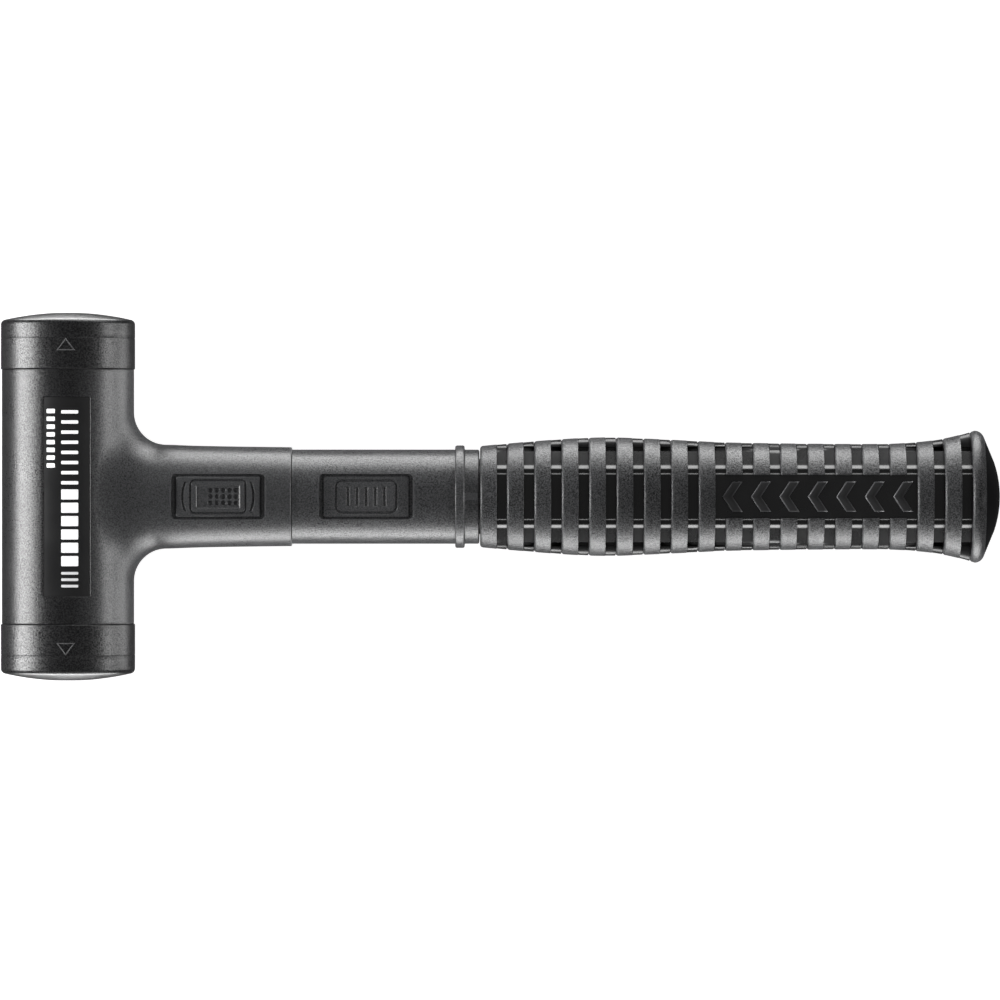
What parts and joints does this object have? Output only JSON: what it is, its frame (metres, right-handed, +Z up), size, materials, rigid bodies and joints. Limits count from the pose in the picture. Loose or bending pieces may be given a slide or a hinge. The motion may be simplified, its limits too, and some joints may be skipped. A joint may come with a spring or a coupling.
{
  "type": "dead blow mallet",
  "caption": "Dead blow mallet with a barrel head, two domed strike faces, a sealed canister of loose steel shot and a ribbed grip over a steel handle tube.",
  "frame": {"origin": "under the middle of the mallet, on the surface it lies on", "axes": "+X along the handle from the head to the pommel, +Y along the axis of the head towards one strike face, +Z up, out of the side with the label"},
  "size_m": [0.298, 0.1096, 0.04],
  "materials": {
    "casing_plastic": "fine moulded grain, satin",
    "strike_plastic": "fine moulded grain, satin",
    "sleeve_plastic": "fine moulded grain, satin",
    "grip_plastic": "grained ribs over a smooth black core",
    "label_film": "smooth, half gloss",
    "tube_steel": "drawn tube",
    "shot_steel": "tumbled balls",
    "plug_plastic": "moulded"
  },
  "bodies": {
    "mallet": {"head_housing": "casing_plastic", "strike_face_pos_y": "strike_plastic", "strike_face_neg_y": "strike_plastic", "head_label": "label_film", "handle_sleeve": "sleeve_plastic", "grip_sleeve": "grip_plastic", "shot_canister": "tube_steel", "canister_lid_pos_y": "tube_steel", "canister_lid_neg_y": "tube_steel", "handle_tube": "tube_steel", "tube_plug": "plug_plastic"},
    "shot_charge": {"shot_ball_01": "shot_steel", "shot_ball_02": "shot_steel", "shot_ball_03": "shot_steel", "shot_ball_04": "shot_steel", "shot_ball_05": "shot_steel", "shot_ball_06": "shot_steel", "shot_ball_07": "shot_steel", "shot_ball_08": "shot_steel", "shot_ball_09": "shot_steel", "shot_ball_10": "shot_steel", "shot_ball_11": "shot_steel", "shot_ball_12": "shot_steel", "shot_ball_13": "shot_steel", "shot_ball_14": "shot_steel", "shot_ball_15": "shot_steel", "shot_ball_16": "shot_steel", "shot_ball_17": "shot_steel", "shot_ball_18": "shot_steel", "shot_ball_19": "shot_steel", "shot_ball_20": "shot_steel", "shot_ball_21": "shot_steel", "shot_ball_22": "shot_steel", "shot_ball_23": "shot_steel", "shot_ball_24": "shot_steel", "shot_ball_25": "shot_steel", "shot_ball_26": "shot_steel", "shot_ball_27": "shot_steel", "shot_ball_28": "shot_steel", "shot_ball_29": "shot_steel", "shot_ball_30": "shot_steel", "shot_ball_31": "shot_steel", "shot_ball_32": "shot_steel", "shot_ball_33": "shot_steel", "shot_ball_34": "shot_steel", "shot_ball_35": "shot_steel"}
  },
  "joints": [
    {"name": "shot_slide", "type": "slide", "parent": "mallet", "child": "shot_charge", "axis": [0, 1, 0], "range_m": [0, 0.0192]}
  ]
}
